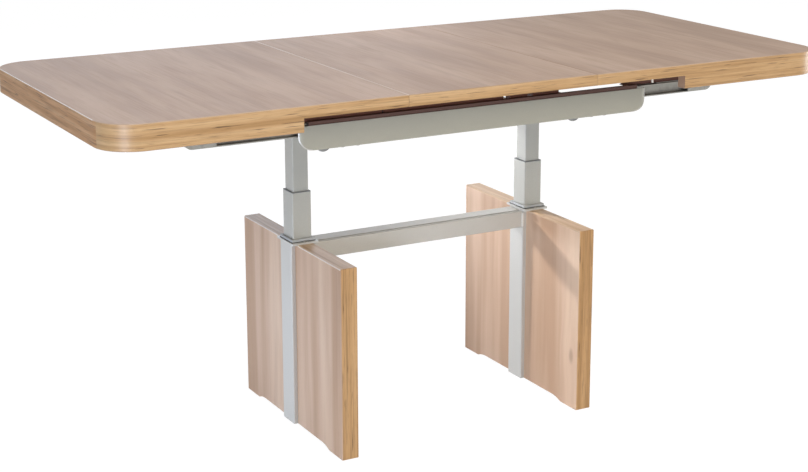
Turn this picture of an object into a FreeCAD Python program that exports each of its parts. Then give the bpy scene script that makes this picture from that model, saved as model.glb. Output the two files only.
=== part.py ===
"""Convertible coffee and dining table: two leaves that slide apart, an insert between them that
rises to fill the gap, and a frame on two telescopic columns that stand between split leg panels.

Millimetres, +X along the table, +Z up, origin on the floor under the middle of the table.
The table is drawn as a dining table: leaves apart, insert up, columns raised.
"""
import FreeCAD, Part
import math
import os
from FreeCAD import Vector

# Table top
TOP_LENGTH = 1583.0
TOP_WIDTH = 700.0
TOP_HEIGHT = 750.0
BOARD_THICKNESS = 22.0
INSERT_LENGTH = 420.0
SEAM_GAP = 0.6
TOP_CORNER_RADIUS = 72.0
EDGE_ROUND = 1.2

# Strips that thicken the rim of each leaf, away from the slot that the insert sinks into
STRIP_WIDTH = 22.0
STRIP_HEIGHT = 26.5
STRIP_START = 424.0

# Leg panels
COLUMN_X = 277.0
PANEL_THICKNESS = 36.0
PANEL_DEPTH = 460.0
PANEL_TOP = 395.0
FOOT_LENGTH = 60.0
FOOT_CURVE_RUN = 33.0
RECESS_HEIGHT = 9.0
GLIDE_THICKNESS = 2.0
GLIDE_RADIUS = 11.0
GLIDE_INSET = 18.0

# Telescopic columns, each size across X then across Y
POST_SIZE = (54.0, 52.0)
MID_SIZE = (41.6, 45.4)
UPPER_SIZE = (34.4, 37.0)
TUBE_WALL = 2.0
TUBE_CORNER = 2.0
POST_BASE_PLATE = 3.0
MID_BOTTOM = 150.0
MID_TOP = 500.0
UPPER_BOTTOM = 330.0
SLIDING_GAP = 0.3
BUSH_LENGTH = 70.0
BUSH_RIM = (52.0, 58.0)
BUSH_RIM_HEIGHT = 6.0
MID_BUSH_RIM_HEIGHT = 1.6
FLANGE_SIZE = (58.0, 76.0)
FLANGE_THICKNESS = 4.0
FLANGE_SCREW_Y = 33.5
SCREW_RADIUS = 1.75
SCREW_HEAD_RADIUS = 3.2
SCREW_HEAD_HEIGHT = 2.2
SCREW_LENGTH = 30.0

# Gas springs inside the columns
CYLINDER_RADIUS = 11.0
CYLINDER_WALL = 1.5
CYLINDER_TOP = 395.0
CYLINDER_CAP = 6.0
ROD_RADIUS = 4.0
PISTON_HEIGHT = 8.0
ROD_COLLAR_RADIUS = 7.0
ROD_COLLAR_HEIGHT = 4.0
RELEASE_PIN_RADIUS = 2.5
RELEASE_PIN_TOP = 654.0

# Crossbar between the posts, folded from sheet with a slot along its top
CROSSBAR_WIDTH = 50.0
CROSSBAR_BOTTOM = 357.0
CROSSBAR_TOP = 393.0
CROSSBAR_WALL = 2.5
CROSSBAR_LIP = 4.0
CROSSBAR_SLOT = 7.0
CROSSBAR_END_FLANGE = 3.0

# Frame that carries the top
RAIL_LENGTH = 786.0
RAIL_Y = 262.0
RAIL_BOTTOM = 645.0
RAIL_TOP = 692.0
RAIL_SHEET = 2.0
RAIL_CORNER = 28.0
RAIL_FLANGE = 20.0
RAIL_CURL_RADIUS = 16.0
RAIL_CURL_TURN = math.radians(45.0)
HEAD_INNER = 20.0
HEAD_OUTER = 30.0
HEAD_HEIGHT = 9.0
HEAD_SHEET = 3.0
END_TIE_X = (309.0, 333.0)
END_TIE_THICKNESS = 3.0
BUFFER_X = 290.0
BUFFER_Y = 150.0
BUFFER_RADIUS = 15.0
BUFFER_BOTTOM = 612.0

# Slides: a channel on each rail, and a runner under each leaf that rides on shoes in it
CHANNEL_HALF_LENGTH = 372.0
CHANNEL_BOTTOM = 664.0
CHANNEL_HEIGHT = 35.0
CHANNEL_DEPTH = 10.0
RUNNER_START = 215.0
SHORT_RUNNER_END = 569.0
LONG_RUNNER_END = 616.0
RUNNER_Y = (239.0, 254.0)
RUNNER_BOTTOM = 671.0
RUNNER_HEIGHT = 24.0
RUNNER_END_RADIUS = 16.0
RUNNER_PAD_X = (430.0, 560.0)
RUNNER_PAD_DEPTH = 10.0
LONG_BATTEN_START = 212.0
SHORT_BATTEN_START = 350.0
BATTEN_END = 700.0
BATTEN_NOSE_RUN = 73.0
BATTEN_Y = (228.0, 248.0)
BATTEN_BOTTOM = 697.0
SHOE_CENTRES = (250.0, 350.0)
SHOE_LENGTH = 30.0
SHOE_DEPTH = 14.0

# Insert lift: cleats under the insert, with pins that slide in bushes on two cross bars
CLEAT_X = 170.0
CLEAT_WIDTH = 30.0
CLEAT_HALF_LENGTH = 232.0
CLEAT_BOTTOM = 680.0
CLEAT_NOTCH_WIDTH = 26.0
CLEAT_NOTCH_TOP = 704.0
SIDE_BATTEN_X = (-209.0, 188.0)
SIDE_BATTEN_Y = (232.0, 248.0)
SIDE_BATTEN_BOTTOM = 690.0
SIDE_BATTEN_SLOTS = ((58.0, 73.0), (114.0, 126.0))
SIDE_BATTEN_SLOT_TOP = 714.0
GUIDE_BAR_HEIGHT = 8.0
GUIDE_PIN_Y = 150.0
GUIDE_PIN_RADIUS = 4.0
GUIDE_PIN_BOTTOM = 632.0
GUIDE_BUSH_RADIUS = 7.0
GUIDE_BUSH_RIM_RADIUS = 9.0
GUIDE_BUSH_RIM = 1.5

# Height release: a shaft across the frame with a paddle in the middle and a finger at each column
SHAFT_Y = -30.0
SHAFT_Z = 668.0
SHAFT_RADIUS = 5.0
SHAFT_HALF_LENGTH = 284.0
SHAFT_BRACKET_THICKNESS = 4.0
SHAFT_BRACKET_WIDTH = 26.0
FINGER_WIDTH = 12.0
FINGER_REACH = 34.0
FINGER_UNDERSIDE = 659.0
PADDLE_WIDTH = 60.0
PADDLE_FRONT_Y = -228.0
PADDLE_BEND_Y = -70.0
PADDLE_FRONT_Z = 648.0
PADDLE_THICKNESS = 5.0
PADDLE_HUB_RADIUS = 10.0
PRESS_GAP = 0.05

# Worked out from the sizes above
BOARD_BOTTOM = TOP_HEIGHT - BOARD_THICKNESS
STRIP_BOTTOM = BOARD_BOTTOM - STRIP_HEIGHT
HALF_LENGTH = TOP_LENGTH / 2
HALF_WIDTH = TOP_WIDTH / 2
HALF_INSERT = INSERT_LENGTH / 2
FLANGE_TOP = PANEL_TOP + FLANGE_THICKNESS
RAIL_INNER_Y = RAIL_Y - RAIL_SHEET
RAIL_FLANGE_TOP = RAIL_BOTTOM + RAIL_SHEET
HEAD_BASE_TOP = RAIL_FLANGE_TOP + HEAD_SHEET
CYLINDER_BOTTOM = RECESS_HEIGHT + POST_BASE_PLATE
GUIDE_BAR_TOP = RAIL_FLANGE_TOP + GUIDE_BAR_HEIGHT
ALONG_X = Vector(1, 0, 0)
UP = Vector(0, 0, 1)


def block(x_span, y_span, z_span):
    """A box between three pairs of limits, given in either order."""
    low = Vector(min(x_span), min(y_span), min(z_span))
    high = Vector(max(x_span), max(y_span), max(z_span))
    size = high - low
    return Part.makeBox(size.x, size.y, size.z, low)


def upright(radius, x, y, z_span):
    """A round bar along Z."""
    return Part.makeCylinder(radius, z_span[1] - z_span[0], Vector(x, y, z_span[0]), UP)


def mirror_x(shape):
    """The same shape on the other end of the table."""
    return shape.mirror(Vector(0, 0, 0), Vector(1, 0, 0))


def mirror_y(shape):
    """The same shape on the other long side of the table."""
    return shape.mirror(Vector(0, 0, 0), Vector(0, 1, 0))


def half_turn(shape):
    """The same shape after half a turn about the middle of the table."""
    turned = shape.copy()
    turned.rotate(Vector(0, 0, 0), UP, 180)
    return turned


def plan_outline(x_span, y_span, radii):
    """Wire of a rectangle at height 0, with a radius for each corner.

    The corners run from low X, low Y towards high X. A radius of 0 leaves a corner square.
    """
    x0, x1 = x_span
    y0, y1 = y_span
    corners = [Vector(x0, y0, 0), Vector(x1, y0, 0), Vector(x1, y1, 0), Vector(x0, y1, 0)]
    starts, ends, edges = [], [], []
    for number, corner in enumerate(corners):
        before = (corners[number - 1] - corner).normalize()
        after = (corners[(number + 1) % 4] - corner).normalize()
        radius = radii[number]
        starts.append(corner + before * radius)
        ends.append(corner + after * radius)
        if radius > 0:
            centre = corner + (before + after) * radius
            middle = centre - (before + after).normalize() * radius
            edges.append(Part.Arc(starts[-1], middle, ends[-1]).toShape())
    for number in range(4):
        edges.append(Part.makeLine(ends[number], starts[(number + 1) % 4]))
    return Part.Wire(Part.__sortEdges__(edges))


def plan_solid(x_span, y_span, radii, z_span):
    """A plate or bar with rounded corners in plan."""
    face = Part.Face(plan_outline(x_span, y_span, radii))
    face.translate(UP * z_span[0])
    return face.extrude(UP * (z_span[1] - z_span[0]))


def column_bar(size, corner, z_span):
    """A solid bar of a column's section, centred on the right-hand column."""
    half_x, half_y = size[0] / 2, size[1] / 2
    return plan_solid((COLUMN_X - half_x, COLUMN_X + half_x), (-half_y, half_y), [corner] * 4, z_span)


def inside(size, wall):
    """The opening of a tube, or a section drawn in by the same amount on every side."""
    return (size[0] - 2 * wall, size[1] - 2 * wall)


def column_tube(size, z_span):
    """A rolled rectangular tube of a column."""
    bore = column_bar(inside(size, TUBE_WALL), TUBE_CORNER - TUBE_WALL / 2, z_span)
    return column_bar(size, TUBE_CORNER, z_span).cut(bore)


def round_top_edges(shape, height, radius):
    """Rounds the edges that lie in the horizontal plane at a height."""
    edges = [edge for edge in shape.Edges
             if abs(edge.BoundBox.ZMin - height) < 1e-4 and abs(edge.BoundBox.ZMax - height) < 1e-4]
    return shape.makeFillet(radius, edges)


def leg_panel():
    """Front half of the right leg: a thick board with an arched foot, drilled for the flange screw."""
    outer, inner = -PANEL_DEPTH / 2, -POST_SIZE[1] / 2
    foot_end = outer + FOOT_LENGTH
    curve_end = foot_end + FOOT_CURVE_RUN
    rise = RECESS_HEIGHT - GLIDE_THICKNESS
    curve_radius = (FOOT_CURVE_RUN ** 2 + rise ** 2) / (2 * rise)
    run = FOOT_CURVE_RUN / 2
    middle_drop = curve_radius - math.sqrt(curve_radius ** 2 - run ** 2)

    def point(y, z):
        return Vector(COLUMN_X - PANEL_THICKNESS / 2, y, z)

    edges = [
        Part.makeLine(point(outer, GLIDE_THICKNESS), point(foot_end, GLIDE_THICKNESS)),
        Part.Arc(point(foot_end, GLIDE_THICKNESS), point(curve_end - run, RECESS_HEIGHT - middle_drop),
                 point(curve_end, RECESS_HEIGHT)).toShape(),
        Part.makeLine(point(curve_end, RECESS_HEIGHT), point(inner, RECESS_HEIGHT)),
        Part.makeLine(point(inner, RECESS_HEIGHT), point(inner, PANEL_TOP)),
        Part.makeLine(point(inner, PANEL_TOP), point(outer, PANEL_TOP)),
        Part.makeLine(point(outer, PANEL_TOP), point(outer, GLIDE_THICKNESS)),
    ]
    panel = Part.Face(Part.Wire(edges)).extrude(ALONG_X * PANEL_THICKNESS)
    shown_edges = [edge for edge in panel.Edges
                   if edge.CenterOfMass.z > FOOT_LENGTH and edge.CenterOfMass.y < inner - EDGE_ROUND]
    panel = panel.makeFillet(EDGE_ROUND, shown_edges)
    hole = upright(SCREW_RADIUS + PRESS_GAP, COLUMN_X, -FLANGE_SCREW_Y,
                   (PANEL_TOP - SCREW_LENGTH, PANEL_TOP))
    return panel.cut(hole)


def post():
    """Outer tube of the right column, closed at the bottom by a welded plate."""
    tube = column_tube(POST_SIZE, (RECESS_HEIGHT, PANEL_TOP))
    plate = column_bar(inside(POST_SIZE, TUBE_WALL), 0, (RECESS_HEIGHT, CYLINDER_BOTTOM))
    return tube.fuse(plate).removeSplitter()


def post_flange():
    """Plate that caps the right post and is screwed down onto both leg panels."""
    plate = column_bar(FLANGE_SIZE, TUBE_CORNER, (PANEL_TOP, FLANGE_TOP))
    plate = plate.cut(column_bar(inside(POST_SIZE, TUBE_WALL), 0, (PANEL_TOP, FLANGE_TOP)))
    for y in (-FLANGE_SCREW_Y, FLANGE_SCREW_Y):
        plate = plate.cut(upright(SCREW_RADIUS + PRESS_GAP, COLUMN_X, y, (PANEL_TOP, FLANGE_TOP)))
    return plate


def guide_bush(outer, inner, top, rim, rim_height):
    """Plastic sleeve that guides a tube inside the next one, with a rim on the outer tube's end."""
    sleeve_size = inside(outer, TUBE_WALL + PRESS_GAP)
    sleeve = column_bar(sleeve_size, TUBE_CORNER, (top - BUSH_LENGTH, top))
    bush = sleeve.fuse(column_bar(rim, TUBE_CORNER, (top, top + rim_height)))
    bore = column_bar(inside(inner, -SLIDING_GAP), TUBE_CORNER, (top - BUSH_LENGTH, top + rim_height))
    return bush.cut(bore).removeSplitter()


def post_bush():
    """Guide bush of the right post. Its thick rim sits on the flange."""
    bush = guide_bush(POST_SIZE, MID_SIZE, FLANGE_TOP, BUSH_RIM, BUSH_RIM_HEIGHT)
    return round_top_edges(bush, FLANGE_TOP + BUSH_RIM_HEIGHT, EDGE_ROUND)


def flange_screw(x, y):
    """Pan-head screw through a post flange into a leg panel."""
    shank = upright(SCREW_RADIUS, x, y, (PANEL_TOP - SCREW_LENGTH, FLANGE_TOP))
    head = upright(SCREW_HEAD_RADIUS, x, y, (FLANGE_TOP, FLANGE_TOP + SCREW_HEAD_HEIGHT))
    head = round_top_edges(head, FLANGE_TOP + SCREW_HEAD_HEIGHT, SCREW_HEAD_HEIGHT / 2)
    return shank.fuse(head).removeSplitter()


def glide(x, y):
    """Round pad under a foot."""
    return upright(GLIDE_RADIUS, x, y, (0, GLIDE_THICKNESS))


def gas_cylinder():
    """Cylinder of the right gas spring: a closed tube with a bored cap for the rod."""
    body = upright(CYLINDER_RADIUS, COLUMN_X, 0, (CYLINDER_BOTTOM, CYLINDER_TOP))
    chamber = upright(CYLINDER_RADIUS - CYLINDER_WALL, COLUMN_X, 0,
                      (CYLINDER_BOTTOM + CYLINDER_CAP, CYLINDER_TOP - CYLINDER_CAP))
    mouth = upright(ROD_RADIUS + SLIDING_GAP, COLUMN_X, 0, (CYLINDER_TOP - CYLINDER_CAP, CYLINDER_TOP))
    return body.cut(chamber).cut(mouth)


def gas_rod():
    """Rod of the right gas spring, from its piston to the release pin above the column head."""
    piston_bottom = CYLINDER_TOP - CYLINDER_CAP - 2 * PISTON_HEIGHT
    piston = upright(CYLINDER_RADIUS - CYLINDER_WALL - SLIDING_GAP, COLUMN_X, 0,
                     (piston_bottom, piston_bottom + PISTON_HEIGHT))
    rod = upright(ROD_RADIUS, COLUMN_X, 0, (piston_bottom, HEAD_BASE_TOP))
    collar = upright(ROD_COLLAR_RADIUS, COLUMN_X, 0, (RAIL_FLANGE_TOP - ROD_COLLAR_HEIGHT, RAIL_FLANGE_TOP))
    pin = upright(RELEASE_PIN_RADIUS, COLUMN_X, 0, (HEAD_BASE_TOP, RELEASE_PIN_TOP))
    return piston.multiFuse([rod, collar, pin]).removeSplitter()


def crossbar():
    """Box of folded sheet between the posts, with a slot near the front of its top and closed ends."""
    half = COLUMN_X - POST_SIZE[0] / 2
    half_width = CROSSBAR_WIDTH / 2
    body = block((-half, half), (-half_width, half_width), (CROSSBAR_BOTTOM, CROSSBAR_TOP))
    long_edges = [edge for edge in body.Edges if edge.BoundBox.XLength > half]
    body = body.makeFillet(CROSSBAR_WALL, long_edges)
    inner_x = half - CROSSBAR_END_FLANGE
    inner_y = half_width - CROSSBAR_WALL
    trough = block((-inner_x, inner_x), (-inner_y, inner_y),
                   (CROSSBAR_BOTTOM + CROSSBAR_WALL, CROSSBAR_TOP - CROSSBAR_WALL))
    slot_y = CROSSBAR_LIP - inner_y
    slot = block((-inner_x, inner_x), (slot_y, slot_y + CROSSBAR_SLOT),
                 (CROSSBAR_BOTTOM + CROSSBAR_WALL, CROSSBAR_TOP))
    return body.cut(trough).cut(slot)


def front_rail():
    """Front rail of the frame: sheet steel with a foot flange, rounded lower corners and curled ends."""
    straight = RAIL_LENGTH / 2 - RAIL_CURL_RADIUS * math.sin(RAIL_CURL_TURN)
    centre_y = -RAIL_Y + RAIL_CURL_RADIUS

    def curl_point(radius, turn):
        return Vector(straight + radius * math.sin(turn), centre_y - radius * math.cos(turn), 0)

    def mirrored(vector):
        return Vector(-vector.x, vector.y, 0)

    turns = (0, RAIL_CURL_TURN / 2, RAIL_CURL_TURN)
    outer = [curl_point(RAIL_CURL_RADIUS, turn) for turn in turns]
    inner = [curl_point(RAIL_CURL_RADIUS - RAIL_SHEET, turn) for turn in turns]
    edges = [
        Part.makeLine(mirrored(outer[0]), outer[0]),
        Part.Arc(*outer).toShape(),
        Part.makeLine(outer[2], inner[2]),
        Part.Arc(*inner[::-1]).toShape(),
        Part.makeLine(inner[0], mirrored(inner[0])),
        Part.Arc(*[mirrored(p) for p in inner]).toShape(),
        Part.makeLine(mirrored(inner[2]), mirrored(outer[2])),
        Part.Arc(*[mirrored(p) for p in outer[::-1]]).toShape(),
    ]
    face = Part.Face(Part.Wire(edges))
    face.translate(UP * RAIL_BOTTOM)
    web = face.extrude(UP * (RAIL_TOP - RAIL_BOTTOM))
    half = RAIL_LENGTH / 2
    outline = rounded_below((-half, half), (RAIL_BOTTOM, RAIL_TOP), RAIL_CORNER, -RAIL_Y, RAIL_FLANGE)
    web = web.common(outline)
    flange_end = half - RAIL_CORNER
    flange = block((-flange_end, flange_end), (-RAIL_INNER_Y, -RAIL_INNER_Y + RAIL_FLANGE),
                   (RAIL_BOTTOM, RAIL_FLANGE_TOP))
    return web.fuse(flange).removeSplitter()


def rounded_below(x_span, z_span, radius, y, depth):
    """A slab along Y whose two lower corners are rounded, seen from the front."""
    x0, x1 = x_span
    z0, z1 = z_span
    step = radius * (1 - math.sqrt(0.5))
    points = [Vector(x0, y, z1), Vector(x0, y, z0 + radius), Vector(x0 + step, y, z0 + step),
              Vector(x0 + radius, y, z0), Vector(x1 - radius, y, z0), Vector(x1 - step, y, z0 + step),
              Vector(x1, y, z0 + radius), Vector(x1, y, z1)]
    edges = [
        Part.makeLine(points[0], points[1]),
        Part.Arc(*points[1:4]).toShape(),
        Part.makeLine(points[3], points[4]),
        Part.Arc(*points[4:7]).toShape(),
        Part.makeLine(points[6], points[7]),
        Part.makeLine(points[7], points[0]),
    ]
    return Part.Face(Part.Wire(edges)).extrude(Vector(0, depth, 0))


def column_head():
    """Shallow channel from rail to rail on top of the right column, with a hole for the gas rod."""
    x_span = (COLUMN_X - HEAD_INNER, COLUMN_X + HEAD_OUTER)
    y_span = (-RAIL_INNER_Y, RAIL_INNER_Y)
    body = block(x_span, y_span, (RAIL_FLANGE_TOP, RAIL_FLANGE_TOP + HEAD_HEIGHT))
    trough = block((x_span[0] + HEAD_SHEET, x_span[1] - HEAD_SHEET), y_span,
                   (HEAD_BASE_TOP, RAIL_FLANGE_TOP + HEAD_HEIGHT))
    hole = upright(ROD_RADIUS + SLIDING_GAP, COLUMN_X, 0, (RAIL_FLANGE_TOP, HEAD_BASE_TOP))
    return body.cut(trough).cut(hole)


def stop_buffer(x, y):
    """Rubber buffer with a domed end, which lands on a leg panel when the table is lowered."""
    stem = upright(BUFFER_RADIUS, x, y, (BUFFER_BOTTOM + BUFFER_RADIUS, RAIL_FLANGE_TOP))
    dome = Part.makeSphere(BUFFER_RADIUS, Vector(x, y, BUFFER_BOTTOM + BUFFER_RADIUS), UP, -90, 0)
    return stem.fuse(dome).removeSplitter()


def end_tie():
    """Flat strap that ties the two rails together near the right end of the frame, on their foot flanges."""
    y_span = (-RAIL_INNER_Y, RAIL_INNER_Y)
    return block(END_TIE_X, y_span, (RAIL_FLANGE_TOP, RAIL_FLANGE_TOP + END_TIE_THICKNESS))


def slide_channel():
    """Channel inside the front rail that the leaves' runners slide in."""
    x_span = (-CHANNEL_HALF_LENGTH, CHANNEL_HALF_LENGTH)
    front = -RAIL_INNER_Y
    body = block(x_span, (front, front + CHANNEL_DEPTH), (CHANNEL_BOTTOM, CHANNEL_BOTTOM + CHANNEL_HEIGHT))
    trough = block(x_span, (front + RAIL_SHEET, front + CHANNEL_DEPTH),
                   (CHANNEL_BOTTOM + RAIL_SHEET, CHANNEL_BOTTOM + CHANNEL_HEIGHT - RAIL_SHEET))
    return body.cut(trough)


def slide_shoes():
    """Nylon shoes in the front channel, two for each runner."""
    front = -RAIL_INNER_Y + RAIL_SHEET
    height = RUNNER_HEIGHT - 2 * RAIL_SHEET - 2 * SLIDING_GAP
    bottom = RUNNER_BOTTOM + RAIL_SHEET + SLIDING_GAP
    shoes = []
    for centre in SHOE_CENTRES:
        for side in (-1, 1):
            x = side * centre
            shoe = block((x - SHOE_LENGTH / 2, x + SHOE_LENGTH / 2), (front, front + SHOE_DEPTH),
                         (bottom, bottom + height))
            shoes.append(shoe.makeFillet(EDGE_ROUND, shoe.Edges))
    return Part.makeCompound(shoes)


def runner(end):
    """Front runner of the right leaf: a channel open to the front, with a pad under the batten."""
    top = RUNNER_BOTTOM + RUNNER_HEIGHT
    y_span = (-RUNNER_Y[1], -RUNNER_Y[0])
    turn = end - RUNNER_END_RADIUS
    step = RUNNER_END_RADIUS * math.sqrt(0.5)

    def point(x, z):
        return Vector(x, y_span[0], z)

    centre_z = RUNNER_BOTTOM + RUNNER_END_RADIUS
    edges = [
        Part.makeLine(point(RUNNER_START, top), point(RUNNER_START, RUNNER_BOTTOM)),
        Part.makeLine(point(RUNNER_START, RUNNER_BOTTOM), point(turn, RUNNER_BOTTOM)),
        Part.Arc(point(turn, RUNNER_BOTTOM), point(turn + step, centre_z - step),
                 point(end, centre_z)).toShape(),
        Part.makeLine(point(end, centre_z), point(end, top)),
        Part.makeLine(point(end, top), point(RUNNER_START, top)),
    ]
    body = Part.Face(Part.Wire(edges)).extrude(Vector(0, y_span[1] - y_span[0], 0))
    trough = block((RUNNER_START, turn), (y_span[0], y_span[1] - RAIL_SHEET),
                   (RUNNER_BOTTOM + RAIL_SHEET, top - RAIL_SHEET))
    pad = block(RUNNER_PAD_X, (y_span[1] - RUNNER_PAD_DEPTH, y_span[1]), (top, BATTEN_BOTTOM))
    return body.cut(trough).fuse(pad).removeSplitter()


def short_batten():
    """Batten that the right leaf's front runner is screwed to, with a sloping nose."""
    def point(x, z):
        return Vector(x, -BATTEN_Y[1], z)

    outline = [point(SHORT_BATTEN_START, BATTEN_BOTTOM), point(BATTEN_END, BATTEN_BOTTOM),
               point(BATTEN_END, BOARD_BOTTOM), point(SHORT_BATTEN_START + BATTEN_NOSE_RUN, BOARD_BOTTOM)]
    face = Part.Face(Part.makePolygon(outline + outline[:1]))
    return face.extrude(Vector(0, BATTEN_Y[1] - BATTEN_Y[0], 0))


def long_batten():
    """Batten that the right leaf's rear runner is screwed to, as far as the insert."""
    return block((LONG_BATTEN_START, BATTEN_END), BATTEN_Y, (BATTEN_BOTTOM, BOARD_BOTTOM))


def leaf_board():
    """Top board of the right leaf, rounded at its two outer corners."""
    radii = [0, TOP_CORNER_RADIUS, TOP_CORNER_RADIUS, 0]
    board = plan_solid((HALF_INSERT + SEAM_GAP, HALF_LENGTH), (-HALF_WIDTH, HALF_WIDTH), radii,
                       (BOARD_BOTTOM, TOP_HEIGHT))
    return round_top_edges(board, TOP_HEIGHT, EDGE_ROUND)


def leaf_rim():
    """Whole rim under the right leaf, before it is parted into strips."""
    outer_radii = [0, TOP_CORNER_RADIUS, TOP_CORNER_RADIUS, 0]
    inner_radius = TOP_CORNER_RADIUS - STRIP_WIDTH
    inner_radii = [0, inner_radius, inner_radius, 0]
    z_span = (STRIP_BOTTOM, BOARD_BOTTOM)
    rim = plan_solid((STRIP_START, HALF_LENGTH), (-HALF_WIDTH, HALF_WIDTH), outer_radii, z_span)
    hollow = plan_solid((STRIP_START, HALF_LENGTH - STRIP_WIDTH),
                        (-HALF_WIDTH + STRIP_WIDTH, HALF_WIDTH - STRIP_WIDTH), inner_radii, z_span)
    return round_top_edges(rim, STRIP_BOTTOM, EDGE_ROUND).cut(hollow)


def leaf_strips():
    """The rim of the right leaf as three strips: one bent round the end, and one on each long side."""
    rim = leaf_rim()
    parting = HALF_LENGTH - TOP_CORNER_RADIUS
    z_span = (STRIP_BOTTOM, BOARD_BOTTOM)
    end = rim.common(block((parting, HALF_LENGTH), (-HALF_WIDTH, HALF_WIDTH), z_span))
    front = rim.common(block((STRIP_START, parting), (-HALF_WIDTH, 0), z_span))
    rear = rim.common(block((STRIP_START, parting), (0, HALF_WIDTH), z_span))
    return {"end_strip": end, "front_strip": front, "rear_strip": rear}


def insert_board():
    """Middle board of the top, with square corners."""
    board = block((-HALF_INSERT, HALF_INSERT), (-HALF_WIDTH, HALF_WIDTH), (BOARD_BOTTOM, TOP_HEIGHT))
    return round_top_edges(board, TOP_HEIGHT, EDGE_ROUND)


def insert_cleats():
    """Two cleats under the insert, notched over the release shaft."""
    cleats = []
    for side in (-1, 1):
        x = side * CLEAT_X
        x_span = (x - CLEAT_WIDTH / 2, x + CLEAT_WIDTH / 2)
        cleat = block(x_span, (-CLEAT_HALF_LENGTH, CLEAT_HALF_LENGTH), (CLEAT_BOTTOM, BOARD_BOTTOM))
        notch = block(x_span, (SHAFT_Y - CLEAT_NOTCH_WIDTH / 2, SHAFT_Y + CLEAT_NOTCH_WIDTH / 2),
                      (CLEAT_BOTTOM, CLEAT_NOTCH_TOP))
        cleats.append(cleat.cut(notch))
    return Part.makeCompound(cleats)


def side_batten():
    """Batten under the insert's front edge, with two slots."""
    y_span = (-SIDE_BATTEN_Y[1], -SIDE_BATTEN_Y[0])
    batten = block(SIDE_BATTEN_X, y_span, (SIDE_BATTEN_BOTTOM, BOARD_BOTTOM))
    for slot in SIDE_BATTEN_SLOTS:
        batten = batten.cut(block(slot, y_span, (SIDE_BATTEN_BOTTOM, SIDE_BATTEN_SLOT_TOP)))
    return batten


def pin_places():
    """Where the insert's guide pins stand in plan."""
    return [(x, y) for x in (-CLEAT_X, CLEAT_X) for y in (-GUIDE_PIN_Y, GUIDE_PIN_Y)]


def insert_guide_pins():
    """Pins that hang from the cleats."""
    pins = [upright(GUIDE_PIN_RADIUS, x, y, (GUIDE_PIN_BOTTOM, CLEAT_BOTTOM)) for x, y in pin_places()]
    return Part.makeCompound(pins)


def guide_bar():
    """Cross bar from rail to rail that carries two of the insert's guide bushes."""
    bar = block((CLEAT_X - CLEAT_WIDTH / 2, CLEAT_X + CLEAT_WIDTH / 2), (-RAIL_INNER_Y, RAIL_INNER_Y),
                (RAIL_FLANGE_TOP, GUIDE_BAR_TOP))
    for y in (-GUIDE_PIN_Y, GUIDE_PIN_Y):
        bar = bar.cut(upright(GUIDE_BUSH_RADIUS + PRESS_GAP, CLEAT_X, y, (RAIL_FLANGE_TOP, GUIDE_BAR_TOP)))
    return bar


def insert_guide_bushes():
    """Nylon bushes in the cross bars, each with a thin rim below."""
    bushes = []
    for x, y in pin_places():
        sleeve = upright(GUIDE_BUSH_RADIUS, x, y, (RAIL_FLANGE_TOP, GUIDE_BAR_TOP))
        rim = upright(GUIDE_BUSH_RIM_RADIUS, x, y, (RAIL_FLANGE_TOP - GUIDE_BUSH_RIM, RAIL_FLANGE_TOP))
        bore = upright(GUIDE_PIN_RADIUS + SLIDING_GAP, x, y,
                       (RAIL_FLANGE_TOP - GUIDE_BUSH_RIM, GUIDE_BAR_TOP))
        bushes.append(sleeve.fuse(rim).cut(bore).removeSplitter())
    return Part.makeCompound(bushes)


def shaft_along_x(radius, x_span):
    """A round bar on the release shaft's axis."""
    return Part.makeCylinder(radius, x_span[1] - x_span[0], Vector(x_span[0], SHAFT_Y, SHAFT_Z), ALONG_X)


def release_shaft():
    """Shaft across the frame with a welded finger over each gas spring's release pin."""
    shaft = shaft_along_x(SHAFT_RADIUS, (-SHAFT_HALF_LENGTH, SHAFT_HALF_LENGTH))
    fingers = [block((side * COLUMN_X - FINGER_WIDTH / 2, side * COLUMN_X + FINGER_WIDTH / 2),
                     (SHAFT_Y, SHAFT_Y + FINGER_REACH), (FINGER_UNDERSIDE, SHAFT_Z)) for side in (-1, 1)]
    return shaft.multiFuse(fingers).removeSplitter()


def release_handle():
    """Bent paddle on the middle of the release shaft, reached from under the front rail."""
    half = PADDLE_WIDTH / 2

    def point(y, z):
        return Vector(-half, y, z)

    rear_z = SHAFT_Z - PADDLE_THICKNESS / 2
    outline = [point(PADDLE_FRONT_Y, PADDLE_FRONT_Z), point(PADDLE_BEND_Y - half, PADDLE_FRONT_Z),
               point(PADDLE_BEND_Y, rear_z), point(SHAFT_Y, rear_z),
               point(SHAFT_Y, rear_z + PADDLE_THICKNESS), point(PADDLE_BEND_Y, rear_z + PADDLE_THICKNESS),
               point(PADDLE_BEND_Y - half, PADDLE_FRONT_Z + PADDLE_THICKNESS),
               point(PADDLE_FRONT_Y, PADDLE_FRONT_Z + PADDLE_THICKNESS)]
    paddle = Part.Face(Part.makePolygon(outline + outline[:1])).extrude(ALONG_X * PADDLE_WIDTH)
    hub = shaft_along_x(PADDLE_HUB_RADIUS, (-half, half))
    bore = shaft_along_x(SHAFT_RADIUS + PRESS_GAP, (-half, half))
    return paddle.fuse(hub).cut(bore).removeSplitter()


def release_shaft_brackets():
    """Plates on the inner sides of the column heads that carry the release shaft."""
    brackets = []
    half = SHAFT_BRACKET_WIDTH / 2
    for side in (-1, 1):
        x_inner = side * (COLUMN_X - HEAD_INNER - SHAFT_BRACKET_THICKNESS)
        x_outer = side * (COLUMN_X - HEAD_INNER)
        plate = block((x_inner, x_outer), (SHAFT_Y - half, SHAFT_Y + half),
                      (RAIL_FLANGE_TOP, SHAFT_Z + half))
        bore = shaft_along_x(SHAFT_RADIUS + SLIDING_GAP, sorted((x_inner, x_outer)))
        brackets.append(plate.cut(bore))
    return Part.makeCompound(brackets)


def both_ends(name, shape):
    """A right-hand piece and its twin at the left end."""
    return {"right_" + name: shape, "left_" + name: mirror_x(shape)}


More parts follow.
